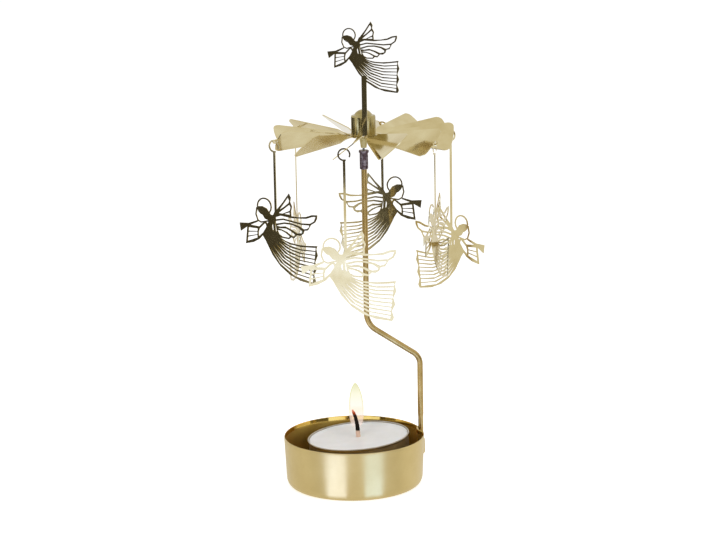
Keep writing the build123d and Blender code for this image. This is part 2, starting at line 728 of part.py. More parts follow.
# Wick: straight up through the wax, then bent over by its own burning
wick_foot = Plane(origin=light_plane.from_local_coords((0, sustainer_top, 0)), z_dir=light_up)
with BuildPart() as wick:
    with BuildLine(light_plane) as wick_path:
        wick_upright = Line((0, sustainer_top), (0, sustainer_top + wick_straight))
        PolarLine(start=wick_upright @ 1, length=wick_bent, angle=90 + wick_bend_angle)
    with BuildSketch(wick_foot):
        Circle(wick_dia / 2)
    sweep(path=wick_path.wires()[0], transition=Transition.RIGHT)
wick.part.label = "wick"
export_step(wick.part, "parts/wick.step")
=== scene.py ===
"""Angel chime carousel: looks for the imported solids, the burning tealight and their studio.

The CAD solids take their finishes by material slot. Rounder forms of the candle cup and its straps,
the thimble, the foil, the wax and the wick stand for plain solids, and a flame rides the tealight.
"""

import json
from math import cos, pi, radians, sin

import bpy
import numpy as np
from mathutils import Matrix, Vector


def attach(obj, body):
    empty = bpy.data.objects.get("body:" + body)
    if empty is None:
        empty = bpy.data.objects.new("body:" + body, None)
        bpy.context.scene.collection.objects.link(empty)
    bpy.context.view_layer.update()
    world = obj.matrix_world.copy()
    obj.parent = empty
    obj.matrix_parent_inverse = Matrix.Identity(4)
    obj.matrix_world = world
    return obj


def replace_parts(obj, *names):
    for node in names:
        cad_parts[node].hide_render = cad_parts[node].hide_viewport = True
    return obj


MM = 0.001

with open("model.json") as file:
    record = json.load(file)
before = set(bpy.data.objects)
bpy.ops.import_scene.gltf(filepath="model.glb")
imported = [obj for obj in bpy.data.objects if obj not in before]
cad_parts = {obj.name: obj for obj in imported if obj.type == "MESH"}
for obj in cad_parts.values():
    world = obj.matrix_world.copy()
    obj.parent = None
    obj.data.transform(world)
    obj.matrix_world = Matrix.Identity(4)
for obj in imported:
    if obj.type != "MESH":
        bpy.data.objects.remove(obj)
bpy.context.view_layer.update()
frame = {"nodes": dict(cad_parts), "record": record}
nodes = frame["nodes"]

# The camera as fitted to the photograph: lengths in metres, and the lens in the photograph's pixels
image_width = 716
camera_azimuth = radians(-13)
camera_distance = 0.770
camera_height = 0.2408
camera_pitch = radians(11.75)
camera_roll = radians(1.05)
focal_pixels = 2156
sensor_width_mm = 36
centre_shift_pixels = 6.9


def linear(hex_colour):
    """sRGB hex, such as C4B588, as linear red, green, blue and alpha."""
    channels = [int(hex_colour[i : i + 2], 16) / 255 for i in (0, 2, 4)]
    rgb = [c / 12.92 if c <= 0.04045 else ((c + 0.055) / 1.055) ** 2.4 for c in channels]
    return (*rgb, 1.0)


def add_node(tree, kind, links=None, values=None, **settings):
    """Adds a node with its settings and its sockets' values, and links outputs into its inputs."""
    node = tree.nodes.new(kind)
    for name, value in settings.items():
        setattr(node, name, value)
    for name, value in (values or {}).items():
        node.inputs[name].default_value = value
    for name, output in (links or {}).items():
        tree.links.new(output, node.inputs[name])
    return node


def new_material(name):
    """An empty node material and its tree."""
    material = bpy.data.materials.new(name)
    material.use_nodes = True
    material.node_tree.nodes.clear()
    return material, material.node_tree


def finished(material, surface):
    """The material with its surface linked to its output node."""
    add_node(material.node_tree, "ShaderNodeOutputMaterial", {"Surface": surface})
    return material


def object_place(tree):
    """Object coordinates, in metres, which ride along with a piece."""
    return add_node(tree, "ShaderNodeTexCoord").outputs["Object"]


def noise(tree, place, size_mm, detail, roughness=0.5):
    """Noise whose largest patches have a real size in mm."""
    values = {"Scale": 1 / (size_mm * MM), "Detail": detail, "Roughness": roughness}
    return add_node(tree, "ShaderNodeTexNoise", {"Vector": place}, values).outputs["Fac"]


def spread(tree, value, low, high, to_low=0.0, to_high=1.0):
    """A value carried from the span low to high over to another span, and held within it."""
    values = {"From Min": low, "From Max": high, "To Min": to_low, "To Max": to_high}
    return add_node(tree, "ShaderNodeMapRange", {"Value": value}, values).outputs["Result"]


def blend(tree, factor, first, second, data_type="RGBA"):
    """A mix of two colours, or with data_type FLOAT of two numbers."""
    links = {"Factor": factor, "A": first, "B": second}
    return add_node(tree, "ShaderNodeMix", links, data_type=data_type).outputs["Result"]


def blend_shaders(tree, factor, first, second):
    """A mix of two shaders."""
    links = {0: factor, 1: first, 2: second}
    return add_node(tree, "ShaderNodeMixShader", links).outputs["Shader"]


def bump(tree, height, strength, depth_mm):
    """Normals that follow a height from 0 to 1, whose full depth is given in mm."""
    values = {"Strength": strength, "Distance": depth_mm * MM}
    return add_node(tree, "ShaderNodeBump", {"Height": height}, values).outputs["Normal"]


def principled(tree, links, values):
    """The usual surface shader."""
    return add_node(tree, "ShaderNodeBsdfPrincipled", links, values).outputs["BSDF"]


def ramp(tree, factor, stops):
    """A straight colour ramp over a factor, with stops given as (place, sRGB hex)."""
    node = add_node(tree, "ShaderNodeValToRGB", {"Fac": factor})
    elements = node.color_ramp.elements
    while len(elements) < len(stops):
        elements.new(0.5)
    for element, (place, colour) in zip(elements, stops):
        element.position = place
        element.color = linear(colour)
    return node.outputs["Color"]


# The middle part of noise, outside which it hardly ever goes
noise_low, noise_high = 0.3, 0.7


def hollow_finish(
    tree, place, patches, outside, middle_mm, inside_rough, lip_mm, lip_rough, stops
):
    """The colour and roughness of a hollow piece, from those of its outside and of its inside.

    A face at p with the normal n is on the inside where (p - m) . n is less than 0, with the middle
    m at middle_mm up the axis. The inside has inside_rough, but lip_rough from lip_mm up, and its
    patches are coloured by stops. That deeper, brighter gold is a painted reflection of the gold
    light bounced round the hollow.
    """
    lip_fade_mm = 0.3
    from_middle = add_node(
        tree,
        "ShaderNodeVectorMath",
        {0: place},
        {1: (0, 0, middle_mm * MM)},
        operation="SUBTRACT",
    )
    normal = add_node(tree, "ShaderNodeTexCoord").outputs["Normal"]
    outward = add_node(
        tree,
        "ShaderNodeVectorMath",
        {0: from_middle.outputs["Vector"], 1: normal},
        operation="DOT_PRODUCT",
    )
    inside = add_node(
        tree, "ShaderNodeMath", {0: outward.outputs["Value"]}, {1: 0.0}, operation="LESS_THAN"
    ).outputs["Value"]
    height = add_node(tree, "ShaderNodeSeparateXYZ", {"Vector": place}).outputs["Z"]
    inner_rough = spread(
        tree, height, (lip_mm - lip_fade_mm) * MM, lip_mm * MM, inside_rough, lip_rough
    )
    colour, roughness = outside
    # The inside's colour from stops is a painted reflection: gold light bounced round the hollow
    colour = blend(tree, inside, colour, ramp(tree, patches, stops))
    return colour, blend(tree, inside, roughness, inner_rough, "FLOAT")


def metal(
    name, stops, patch_mm, grain_mm, grain_stretch, rough, bump_mm, drawn_round=0.0, hollow=None
):
    """A metal whose colour drifts in soft patches and whose fine grain catches the light.

    stops colour the patches, patch_mm and grain_mm are real sizes, grain_stretch squeezes the grain
    along each axis, and rough is the lowest and highest roughness. drawn_round is how strongly fine
    lines that run round the upright axis spread the light up and down. hollow holds what
    hollow_finish needs for an inside that differs.
    """
    material, tree = new_material(name)
    place = object_place(tree)
    patches = noise(tree, place, patch_mm, 4.0, 0.55)
    stretched = add_node(tree, "ShaderNodeMapping", {"Vector": place}, {"Scale": grain_stretch})
    grain = noise(tree, stretched.outputs["Vector"], grain_mm, 3.0, 0.6)
    colour = ramp(tree, patches, stops)
    roughness = spread(tree, grain, noise_low, noise_high, *rough)
    if hollow:
        colour, roughness = hollow_finish(tree, place, patches, (colour, roughness), **hollow)
    links = {
        "Base Color": colour,
        "Roughness": roughness,
        "Normal": bump(tree, grain, 0.35, bump_mm),
    }
    if drawn_round:
        tangent = add_node(tree, "ShaderNodeTangent", direction_type="RADIAL", axis="Z")
        links["Tangent"] = tangent.outputs["Tangent"]
    quarter_turn = 0.25
    values = {
        "Metallic": 1.0,
        "Anisotropic": drawn_round,
        "Anisotropic Rotation": quarter_turn,
    }
    return finished(material, principled(tree, links, values))


# Anodised light-gold steel, deep drawn: satin, with fine drawing lines round the wall that spread
# its highlights, and a burnished lip in the hollow. The hollow's deeper, brighter gold is a painted
# reflection of the gold light bounced round inside the cup
gold_satin = metal(
    "gold_satin_drawn_steel",
    [(0.30, "D3BB7E"), (0.52, "D8C184"), (0.72, "DDC78B")],
    patch_mm=14,
    grain_mm=0.5,
    grain_stretch=(0.35, 0.35, 1.6),
    rough=(0.40, 0.48),
    bump_mm=0.004,
    drawn_round=0.82,
    hollow={
        "middle_mm": 9.0,
        "inside_rough": 0.36,
        "lip_mm": 17.1,
        "lip_rough": 0.11,
        # Painted reflection: a deeper, brighter gold inside, for the gold light bounced round the
        # hollow
        "stops": [(0.30, "E2B852"), (0.70, "ECC868")],
    },
)
# The same gold on cold-drawn wire: deeper and glossier, with die lines along its length
gold_wire = metal(
    "gold_cold_drawn_wire",
    [(0.30, "A88C50"), (0.55, "B89C60"), (0.75, "C8AF74")],
    patch_mm=6,
    grain_mm=0.4,
    grain_stretch=(1.4, 1.4, 0.25),
    rough=(0.20, 0.30),
    bump_mm=0.004,
)
# Rolled brass sheet with a bright mill finish: nearly a mirror, with a faint rolling grain
brass_sheet = metal(
    "brass_rolled_bright_sheet",
    [(0.28, "C4B27E"), (0.50, "D0C090"), (0.74, "DACDA0")],
    patch_mm=9,
    grain_mm=0.6,
    grain_stretch=(1.0, 1.0, 0.3),
    rough=(0.07, 0.11),
    bump_mm=0.0002,
)
# Brass turned and polished: olive, with soft mirror bands and a little tarnish in patches
polished_brass = metal(
    "brass_polished_thimble",
    [(0.26, "8E7F4C"), (0.50, "A89864"), (0.75, "BCAE7E")],
    patch_mm=3,
    grain_mm=0.35,
    grain_stretch=(0.3, 0.3, 1.4),
    rough=(0.13, 0.18),
    bump_mm=0.0003,
)
# Crimped steel tube: dull, with a purplish brown tarnish in small blotches
tarnished_steel = metal(
    "steel_tarnished_ferrule",
    [(0.30, "3A2C2C"), (0.50, "6B5A5C"), (0.68, "A39A9C"), (0.80, "4A3A34")],
    patch_mm=1.3,
    grain_mm=0.25,
    grain_stretch=(0.4, 0.4, 1.2),
    rough=(0.22, 0.42),
    bump_mm=0.01,
)
# Ground steel pin: bright grey, with fine rings from the grinding
ground_steel = metal(
    "steel_ground_pin",
    [(0.3, "8C8C8A"), (0.7, "B4B4B0")],
    patch_mm=2,
    grain_mm=0.2,
    grain_stretch=(0.3, 0.3, 1.5),
    rough=(0.15, 0.25),
    bump_mm=0.002,
)
# Bare aluminium foil of the tealight: warm grey, softly crinkled by the press
tealight_foil_metal = metal(
    "aluminium_pressed_foil",
    [(0.3, "AEA695"), (0.55, "BEB6A5"), (0.75, "CCC4B3")],
    patch_mm=5,
    grain_mm=0.7,
    grain_stretch=(1.3, 1.3, 0.4),
    rough=(0.34, 0.50),
    bump_mm=0.012,
)


def bearing_plastic():
    """Moulded nylon of the bearing plug: ivory, satin, with a faint mottle."""
    material, tree = new_material("nylon_moulded_plug")
    mottle = noise(tree, object_place(tree), 1.2, 3.0)
    colour = ramp(tree, mottle, [(0.35, "D8D2C0"), (0.65, "E6E1D2")])
    shader = principled(tree, {"Base Color": colour}, {"Roughness": 0.45, "IOR": 1.53})
    return finished(material, shader)


def wax_material():
    """Paraffin wax: white, with light scattered inside it and a glossy, faintly rippled skin."""
    material, tree = new_material("paraffin_wax_white")
    place = object_place(tree)
    cloud = noise(tree, place, 5, 5.0)
    ripple = noise(tree, place, 1.1, 2.0)
    links = {
        "Base Color": ramp(tree, cloud, [(0.32, "EEECE9"), (0.60, "F4F2F0"), (0.8, "F8F6F4")]),
        "Roughness": spread(tree, cloud, noise_low, noise_high, 0.28, 0.48),
        "Normal": bump(tree, ripple, 0.25, 0.05),
    }
    values = {
        "Subsurface Weight": 0.35,
        "Subsurface Scale": 2 * MM,
        "Subsurface Radius": (1.0, 0.85, 0.7),
        "IOR": 1.44,
    }
    return finished(material, principled(tree, links, values))


def wick_material(soaked_mm, glow_mm):
    """Braided cotton: pale with wax up to soaked_mm, burnt black above, and glowing at its tip.

    The glow grows between the two heights in glow_mm.
    """
    soaked_fade_mm = 0.5
    material, tree = new_material("cotton_braid_burnt")
    place = object_place(tree)
    ash = noise(tree, place, 0.5, 4.0)
    height = add_node(tree, "ShaderNodeSeparateXYZ", {"Vector": place}).outputs["Z"]
    above_wax = spread(tree, height, (soaked_mm - soaked_fade_mm) * MM, soaked_mm * MM)
    burnt = ramp(tree, ash, [(0.35, "0A0807"), (0.62, "171210"), (0.8, "2C2521")])
    colour = add_node(
        tree,
        "ShaderNodeMix",
        {"Factor": above_wax, "B": burnt},
        {"A": linear("E6C4AE")},
        data_type="RGBA",
    ).outputs["Result"]
    links = {
        "Base Color": colour,
        "Emission Strength": spread(tree, height, glow_mm[0] * MM, glow_mm[1] * MM),
        "Normal": bump(tree, ash, 0.6, 0.06),
    }
    values = {"Roughness": 0.9, "Emission Color": linear("E0540C"), "Specular IOR Level": 0.08}
    return finished(material, principled(tree, links, values))


def flame_material(low_mm, high_mm):
    """Candle flame: white hot above, pink round the wick, and straw yellow towards its edge.

    Its near side is almost clear low down, where the wick stands, and its far side glows behind it.
    """
    material, tree = new_material("candle_flame_glow")
    height = add_node(tree, "ShaderNodeSeparateXYZ", {"Vector": object_place(tree)}).outputs["Z"]
    along = spread(tree, height, low_mm * MM, high_mm * MM)
    facing = add_node(tree, "ShaderNodeLayerWeight", None, {"Blend": 0.5}).outputs["Facing"]
    body_stops = [
        (0.0, "FBEBE4"),
        (0.25, "FFE4D4"),
        (0.42, "FFEFD2"),
        (0.56, "FFFEF2"),
        (0.80, "FDFBE0"),
        (1.0, "E8E8B8"),
    ]
    rim_stops = [
        (0.0, "F2E4DE"),
        (0.25, "F6D6BC"),
        (0.45, "F2E2B0"),
        (0.75, "E2DE98"),
        (1.0, "C8C67E"),
    ]
    near_stops = [(0.0, "0C0C0C"), (0.40, "1C1C1C"), (0.56, "E0E0E0"), (1.0, "F4F4F4")]
    far_stops = [(0.0, "606060"), (0.10, "C8C8C8"), (0.40, "DCDCDC"), (1.0, "F4F4F4")]
    edge = spread(tree, facing, 0.35, 0.85)
    colour = blend(tree, edge, ramp(tree, along, body_stops), ramp(tree, along, rim_stops))
    far_side = add_node(tree, "ShaderNodeNewGeometry").outputs["Backfacing"]
    cover = blend(tree, far_side, ramp(tree, along, near_stops), ramp(tree, along, far_stops))
    glow = add_node(tree, "ShaderNodeEmission", {"Color": colour}, {"Strength": 1.0})
    clear = add_node(tree, "ShaderNodeBsdfTransparent")
    surface = blend_shaders(tree, cover, clear.outputs["BSDF"], glow.outputs["Emission"])
    return finished(material, surface)


def new_piece(name, points, faces, material, body):
    """A smooth mesh from points and arrays of faces, without unused points, that rides a body."""
    used = np.unique(np.concatenate([part.ravel() for part in faces]))
    place = np.zeros(len(points), dtype=int)
    place[used] = np.arange(len(used))
    mesh = bpy.data.meshes.new(name)
    mesh.from_pydata(points[used].tolist(), [], sum((place[part].tolist() for part in faces), []))
    mesh.materials.append(material)
    mesh.polygons.foreach_set("use_smooth", np.ones(len(mesh.polygons), dtype=bool))
    mesh.update()
    piece = bpy.data.objects.new(name, mesh)
    bpy.context.scene.collection.objects.link(piece)
    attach(piece, body)
    return piece


def round_grid(points):
    """Numbers of a grid's points, its quads and its pole triangles.

    Rows run along a form and columns round it, and the first and last rows are poles, each of which
    becomes its first point. Faces look outward where the columns turn anticlockwise about the
    direction in which the rows advance. The quads are given row by row, without those at the poles.
    """
    rows, columns = points.shape[:2]
    number = np.arange(rows * columns).reshape(rows, columns)
    number[0] = number[0, 0]
    number[-1] = number[-1, 0]
    after = np.roll(number, -1, axis=1)
    quads = np.stack([number[:-1], after[:-1], after[1:], number[1:]], axis=-1)
    low = np.stack([number[0], after[1], number[1]], axis=-1)
    high = np.stack([number[-2], after[-2], number[-1]], axis=-1)
    return number, quads[1:-1], [low, high]


def grid_piece(name, points, material, body):
    """A closed smooth piece from a grid of points whose first and last rows are poles."""
    _, quads, tips = round_grid(points)
    faces = [quads.reshape(-1, 4), *tips]
    return new_piece(name, points.reshape(-1, 3), faces, material, body)


def rounded_profile(corners, steps=7):
    """A profile through corners given in mm as (radius, height, rounding).

    Each rounding is the quadratic curve between the points that far before and after the corner,
    pulled to the corner.
    """
    points = []
    for i, (r, z, rounding) in enumerate(corners):
        here = np.array([r, z])
        if rounding == 0:
            points.append(here[None])
            continue
        before = np.array(corners[i - 1][:2]) - here
        after = np.array(corners[i + 1][:2]) - here
        start = here + before / np.linalg.norm(before) * rounding
        end = here + after / np.linalg.norm(after) * rounding
        t = np.linspace(0, 1, steps)[:, None]
        points.append((1 - t) ** 2 * start + 2 * t * (1 - t) * here + t**2 * end)
    return np.concatenate(points)


def full_turn(count):
    """A number of even angles once round."""
    return np.linspace(0, 2 * pi, count, endpoint=False)


def ring(angle, up, side):
    """Unit vectors round an axis: cos a side + sin a (up x side)."""
    return np.cos(angle)[..., None] * side + np.sin(angle)[..., None] * np.cross(up, side)


def turned(profile, angle, origin, up, side):
    """A profile (radius r, height z) in mm turned round an axis: origin + z up + r ring(a)."""
    radius, height = profile[:, 0, None, None], profile[:, 1, None, None]
    return origin + MM * (height * up + radius * ring(angle, up, side)[None])


# Axes of the parts: the pole's line, and the tealight's foot and lean in the cup
pole_axis_mm = (5.5, 0.0)
hub_bottom_mm = 130.0
light_foot_mm = (3.3, 2.8, 1.901)
light_tilt = radians(4)
light_turn = radians(-13)
world_up = np.array([0.0, 0.0, 1.0])
world_side = np.array([1.0, 0.0, 0.0])
hub_foot = MM * np.array([*pole_axis_mm, hub_bottom_mm])
light_foot = MM * np.array(light_foot_mm)
lean_side = np.array([cos(light_turn), sin(light_turn), 0.0])
light_up = cos(light_tilt) * world_up - sin(light_tilt) * lean_side
light_side = sin(light_tilt) * world_up + cos(light_tilt) * lean_side

# Each slot's finish, put on the CAD nodes that take it
slot_finish = {
    "gold_satin": gold_satin,
    "gold_wire": gold_wire,
    "aged_ferrule": tarnished_steel,
    "needle_steel": ground_steel,
    "polished_brass": polished_brass,
    "bearing_plug": bearing_plastic(),
    "brass_sheet": brass_sheet,
    "tealight_tin": tealight_foil_metal,
    "candle_wax": wax_material(),
    "wick_black": wick_material(soaked_mm=19.2, glow_mm=(24.8, 26.8)),
}
for subpart in frame["record"]["subparts"]:
    mesh = nodes[subpart["node"]].data
    mesh.materials.clear()
    mesh.materials.append(slot_finish[subpart["material_slot"]])


def tealight_foil():
    """Pressed foil cup: a thin wall r(z) turned about the light's axis, its lip rolled outward."""
    profile = rounded_profile(
        [
            (0, 0.25, 0),
            (17.45, 0.25, 0.9),
            (18.40, 1.3, 0.9),
            (18.40, 14.50, 0.3),
            (18.42, 15.10, 0.15),
            (18.62, 15.30, 0.12),
            (18.88, 15.26, 0.12),
            (19.00, 14.95, 0.18),
            (18.84, 14.60, 0.14),
            (18.65, 14.30, 0.20),
            (18.65, 1.2, 0.9),
            (17.45, 0, 0.9),
            (0, 0, 0),
        ]
    )
    return turned(profile[::-1], full_turn(160), light_foot, light_up, light_side)


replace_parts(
    grid_piece("tealight_foil", tealight_foil(), tealight_foil_metal, "tealight"),
    "tealight_cup",
)


def melted_wax():
    """Wax: r(z) up the cup's wall to a round rim, down a meniscus to the pool, and up to the wick.

    Its top rises and falls by 0.05 sin(3a + 1.2) + 0.03 sin(7a) - 0.06 mm, faded out towards the
    wick and down the wall, and the rim's width wanders by 0.25 sin(2a + 0.6) + 0.12 sin(5a) mm.
    """
    profile = rounded_profile(
        [
            (0, 0.60, 0),
            (18.25, 0.60, 1.2),
            (18.33, 14.90, 0.15),
            (18.00, 15.00, 0.20),
            (16.90, 14.45, 0.80),
            (9.00, 14.22, 2.0),
            (2.20, 14.26, 1.0),
            (0.90, 14.62, 0.25),
            (0, 14.72, 0),
        ]
    )
    wall_mm, rim_middle_mm, rim_width_mm = 18.3, 16.6, 1.2
    top_from_mm, top_fade_mm = 13.3, 0.5
    angle = full_turn(144)[None]
    radius, height = profile[:, :1], profile[:, 1:]
    on_top = np.clip((height - top_from_mm) / top_fade_mm, 0, 1)
    on_top = on_top * np.clip(radius / wall_mm, 0, 1) ** 2
    at_rim = on_top * np.exp(-(((radius - rim_middle_mm) / rim_width_mm) ** 2))
    radius = radius + at_rim * (0.25 * np.sin(2 * angle + 0.6) + 0.12 * np.sin(5 * angle))
    height = height + on_top * (0.05 * np.sin(3 * angle + 1.2) + 0.03 * np.sin(7 * angle) - 0.06)
    outward = ring(angle, light_up, light_side)
    return light_foot + MM * (height[..., None] * light_up + radius[..., None] * outward)


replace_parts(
    grid_piece("melted_wax", melted_wax(), slot_finish["candle_wax"], "tealight"),
    "wax",
)


def tube(centres, radii, columns, bulge):
    """A tube round a path in the plane that the light leans in.

    p(s, a) = c(s) + r(s) (1 + bulge(s, a)) (cos a n(s) + sin a b), where b stands across that plane
    and n(s) across both b and the path.
    """
    tangent = np.gradient(centres, axis=0)
    tangent /= np.linalg.norm(tangent, axis=1, keepdims=True)
    across = np.cross(light_up, light_side)
    normal = np.cross(across, tangent)
    angle = full_turn(columns)
    outward = np.cos(angle)[None, :, None] * normal[:, None] + np.sin(angle)[None, :, None] * across
    return centres[:, None] + (radii[:, None] * (1 + bulge(angle[None])))[..., None] * outward


def burnt_wick():
    """Braided wick: straight up to the bend, then over along a quadratic curve to the tip.

    Places are (aside, up) in mm from the light's foot. The braid's crossing strands are
    0.07 cos(2a + 2.4 s) cos(2a - 2.4 s) over the run s in mm. Above the wax the wick narrows, its
    tip is round, and it is knobbly by 0.05 sin(3.1 s) + 0.06 sin(7.7 s + 1) towards a = -s.
    """
    rows, columns = 110, 28
    low, bend, pull = np.array([0.0, 0.55]), np.array([0.0, 16.7]), np.array([0.15, 21.6])
    lean_from, lean_length, lean = np.array([0.0, 16.45]), 8.9, radians(9)
    tip = lean_from + lean_length * np.array([-sin(lean), cos(lean)])
    straight_share = np.linspace(0, 1, rows)[: rows // 2, None] * 2
    straight = low + (bend - low) * straight_share
    t = np.linspace(0, 1, rows - rows // 2 + 1)[1:, None]
    bent = (1 - t) ** 2 * straight[-1] + 2 * t * (1 - t) * pull + t**2 * tip
    path = np.concatenate([straight, bent])
    run = np.concatenate([[0], np.cumsum(np.linalg.norm(np.diff(path, axis=0), axis=1))])
    centres = light_foot + MM * (path[:, :1] * light_side + path[:, 1:] * light_up)

    wick_radius_mm, tip_length_mm, narrowing = 0.80, 1.6, 0.32
    tip_round = np.clip((run[-1] - run) / tip_length_mm, 0, 1) ** 0.35
    radius = wick_radius_mm * tip_round * (1 - narrowing * np.clip((run - 16) / 8, 0, 1))
    radius[-1] = 0
    knob = 0.05 * np.sin(3.1 * run) + 0.06 * np.sin(7.7 * run + 1)
    knob = knob * np.clip((run - 17) / 3, 0, 1)

    def bulge(angle):
        turn = 2.4 * run[:, None]
        strands = 0.07 * np.cos(2 * angle + turn) * np.cos(2 * angle - turn)
        return strands + knob[:, None] * np.cos(angle + run[:, None])

    points = tube(centres, MM * radius, columns, bulge)
    return np.concatenate([np.broadcast_to(centres[0], points[:1].shape), points])


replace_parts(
    grid_piece("burnt_wick", burnt_wick(), slot_finish["wick_black"], "tealight"),
    "wick",
)

# Flame: it stands about the bent wick, from just over the wax to above the cup's rim
flame_low_mm, flame_high_mm = 19.0, 37.2
flame_line_mm = (1.85, 3.30)
flame_half_width_mm = 2.75
flame_lean_mm = 0.35
flame_widest_share = 0.40


def flame():
    """Blunt teardrop, with t from 0 at its foot to 1 at its tip.

    r(t) = w (1 - (1 - b)^2.2)^0.6 (1 - a^2.3)^0.66, where b rises from 0 to 1 up to the widest
    place and a from there to the tip. The line it is turned about leans aside by 0.35 t^2 mm.
    """
    t = 0.5 - 0.5 * np.cos(np.linspace(0, pi, 70))
    below = np.clip(t / flame_widest_share, 0, 1)
    above = np.clip((t - flame_widest_share) / (1 - flame_widest_share), 0, 1)
    foot_round = (1 - (1 - below) ** 2.2) ** 0.6
    tip_round = np.clip(1 - above**2.3, 0, 1) ** 0.66
    radius = (flame_half_width_mm * foot_round * tip_round)[:, None]
    angle = full_turn(48)
    height = flame_low_mm + t * (flame_high_mm - flame_low_mm)
    x = flame_line_mm[0] - flame_lean_mm * t[:, None] ** 2 + radius * np.cos(angle)
    y = flame_line_mm[1] + radius * np.sin(angle)
    return MM * np.stack([x, y, np.broadcast_to(height[:, None], x.shape)], axis=-1)


grid_piece("candle_flame", flame(), flame_material(flame_low_mm, flame_high_mm), "tealight")


def hub_thimble():
    """Thimble: down the hollow, up the outside to a rounded shoulder, and over a low dome.

    The dome is part of a ball of radius (r^2 + h^2) / 2h, with r and h its own radius and height.
    """
    dome_radius, dome_height, top = 3.35, 2.0, 7.4
    ball = (dome_radius**2 + dome_height**2) / (2 * dome_height)
    swing = np.linspace(np.arcsin(dome_radius / ball), 0, 16)
    dome_rise = top + dome_height - ball + ball * np.cos(swing)
    dome = np.stack([ball * np.sin(swing), dome_rise], axis=1)
    wall = rounded_profile(
        [
            (0, 6.90, 0),
            (3.95, 6.90, 0.3),
            (3.95, 0, 0.12),
            (4.45, 0, 0.12),
            (4.45, top, 0.75),
            (3.55, top, 0),
        ]
    )
    profile = np.concatenate([wall, dome])
    profile[-1, 0] = 0
    return turned(profile, full_turn(96), hub_foot, world_up, world_side)


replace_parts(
    grid_piece("hub_thimble", hub_thimble(), polished_brass, "carousel"),
    "hub_cap",
)


# The cup's sheet in mm: the middle of its wall rises on a straight taper from the foot
cup_sheet_mm = 0.5
cup_foot_radius_mm = 24.85
cup_height_mm = 18.5
cup_taper = 0.9 / cup_height_mm
cup_corner_mm = 25.12
corner_round_out_mm, corner_round_in_mm = 3.2, 2.7
window_sill_mm = 9.65
window_half_mm = 3.5
rim_round_mm = 1.2
rim_inset_mm = 0.26
lip_foot_mm = 17.0


def wall_middle(height):
    """Radius in mm of the middle of the cup's wall at a height."""
    return cup_foot_radius_mm + cup_taper * height


def wall_face(height, offset):
    """Profile points on the wall's face, at an offset in mm from its middle."""
    return np.stack([wall_middle(height) + offset, height], axis=1)


def drawn_cup():
    """Cup: up its outside from a rounded corner, over the round rim, and down its lip and inside.

    The rim's outside draws in by rim_inset (1 - cos s) and rises by rim_round sin s, and the lip is
    thinned in a straight line. Rows follow that profile and columns run round it. Between the
    window's edges the rows above its sill are left out, and strips close the sheet at the sill and
    at both edges.
    """
    half = cup_sheet_mm / 2
    sill = wall_middle(window_sill_mm)
    corner_out = (cup_corner_mm, 0, corner_round_out_mm)
    corner_in = (cup_corner_mm - cup_sheet_mm, cup_sheet_mm, corner_round_in_mm)
    outer = rounded_profile([(0, 0, 0), corner_out, (sill + half, window_sill_mm, 0)], 14)
    inner = rounded_profile(
        [(sill - half, window_sill_mm, 0), corner_in, (0, cup_sheet_mm, 0)], 14
    )
    wall = np.array([9.9, 12.0, 14.5, 16.6])
    swing = np.linspace(0, pi / 2, 8)
    over = wall_face(cup_height_mm - rim_round_mm + rim_round_mm * np.sin(swing), half)
    over[:, 0] -= rim_inset_mm * (1 - np.cos(swing))
    lip_share = np.linspace(0, 1, 7)[:, None]
    lip_top = np.array([over[-1, 0] - 0.03, cup_height_mm - 0.08])
    lip_foot = np.array([wall_middle(lip_foot_mm) - half, lip_foot_mm])
    lip = lip_top + (lip_foot - lip_top) * lip_share
    up_wall, down_wall = wall_face(wall, half), wall_face(wall, -half)[::-1]
    profile = np.concatenate([outer, up_wall, over, lip, down_wall, inner])

    edge, next_to_edge = np.arcsin(window_half_mm / sill), 0.008
    sheet = np.linspace(edge + next_to_edge, 2 * pi - edge - next_to_edge, 190)
    kept = np.concatenate([[edge], sheet, [2 * pi - edge]])
    window = np.linspace(2 * pi - edge, 2 * pi + edge, 6)[1:-1]
    angle = np.concatenate([kept, window])
    points = turned(profile, angle, np.zeros(3), world_up, world_side)
    number, quads, faces = round_grid(points)

    # Rows of the sheet from the sill outside, over the rim, to the sill inside
    first, steps = len(outer) - 1, len(wall) + len(swing)
    last = first + 2 * steps
    shown = np.ones(quads.shape[:2], dtype=bool)
    shown[first - 1 : last - 1, len(kept) - 1 :] = False
    faces.append(quads[shown])
    for column, turn in ((0, -1), (len(kept) - 1, 1)):
        outside = number[first : first + steps + 1, column]
        inside = number[last : first + steps - 1 : -1, column]
        strip = np.stack([outside[:-1], inside[:-1], inside[1:], outside[1:]], axis=-1)
        faces.append(strip[:-1, ::turn])
        faces.append(strip[-1:, :3][:, ::turn])
    across = np.concatenate([np.arange(len(kept) - 1, len(angle)), [0]])
    low, high = number[first, across], number[last, across]
    faces.append(np.stack([low[:-1], low[1:], high[1:], high[:-1]], axis=-1))
    return new_piece("drawn_cup", points.reshape(-1, 3), faces, gold_satin, "base")


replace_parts(drawn_cup(), "candle_cup")

# The straps: half their length along y, and how far their crowns stand from the pole's foot
strap_end_mm = 4.0
strap_crown_mm = 1.15
foot_middle_mm = wall_middle(15.0)


